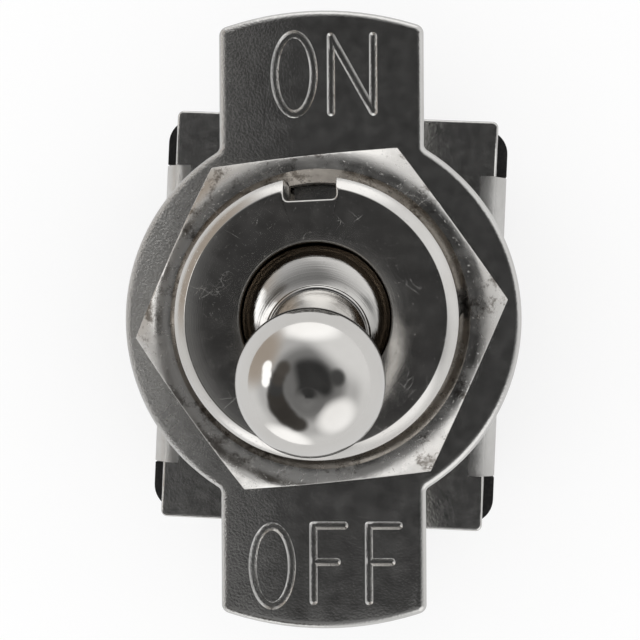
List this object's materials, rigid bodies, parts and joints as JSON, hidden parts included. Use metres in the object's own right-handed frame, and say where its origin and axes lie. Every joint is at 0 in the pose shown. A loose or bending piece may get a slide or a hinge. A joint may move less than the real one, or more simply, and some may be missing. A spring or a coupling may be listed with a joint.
{
  "type": "panel toggle switch",
  "caption": "Panel toggle switch: ball-ended metal lever in a threaded keyed bushing, hexagon nuts, lettered on-off plate, folded steel frame round a moulded case, screw terminals behind.",
  "frame": {"origin": "on the bushing's axis, at the top face of the steel frame, behind the panel", "axes": "+Z out of the panel along the bushing, +Y towards the ON end of the indicator plate, +X to the right when ON is up"},
  "size_m": [0.0178, 0.0278, 0.0382],
  "materials": {
    "nickel_bright": "bright nickel plate on turned brass",
    "plate_nickel": "satin nickel plate on stamped steel",
    "frame_steel": "dull zinc plate on stamped steel",
    "washer_steel": "zinc plated spring steel",
    "pin_steel": "ground steel",
    "spring_wire": "drawn music wire",
    "black_phenolic": "moulded black phenolic",
    "brown_fibre": "vulcanised fibre sheet",
    "ivory_nylon": "moulded nylon",
    "arm_copper": "stamped copper alloy",
    "contact_silver": "silver alloy",
    "bracket_brass": "stamped brass",
    "terminal_brass": "stamped brass",
    "rivet_brass": "headed brass",
    "screw_steel": "nickel plated steel"
  },
  "bodies": {
    "base": {"frame": "frame_steel", "bushing": "nickel_bright", "pivot_pin": "pin_steel", "front_nut": "nickel_bright", "back_nut": "nickel_bright", "lock_washer": "washer_steel", "indicator_plate": "plate_nickel", "case": "black_phenolic", "insulating_sheet": "brown_fibre", "fixed_contact": "contact_silver", "fulcrum_bracket": "bracket_brass", "contact_bracket": "bracket_brass", "terminal_common": "terminal_brass", "terminal_load": "terminal_brass", "rivet_common": "rivet_brass", "rivet_load": "rivet_brass", "screw_common": "screw_steel", "screw_load": "screw_steel"},
    "lever": {"lever": "nickel_bright", "spring": "spring_wire"},
    "plunger": {"plunger": "ivory_nylon"},
    "contact_arm": {"contact_arm": "arm_copper", "moving_contact": "contact_silver"}
  },
  "joints": [
    {"name": "lever_pivot", "type": "hinge", "parent": "base", "child": "lever", "pos_m": [0, 0, 0.0076], "axis": [-0.9877, -0.1564, 0], "range_deg": [0, 22]},
    {"name": "plunger_slide", "type": "slide", "parent": "lever", "child": "plunger", "axis": [0.0298, -0.1885, 0.9816], "range_m": [0, 0.0005], "stiffness_N_per_m": 800, "springref_m": -0.003, "deforming": ["spring"]},
    {"name": "arm_rock", "type": "hinge", "parent": "base", "child": "contact_arm", "pos_m": [0, 0, -0.00602], "axis": [1, 0, 0], "range_deg": [0, 16]}
  ],
  "couplings": [
    {"joint": "arm_rock", "follows": "lever_pivot", "ratio": 0.72727}
  ]
}
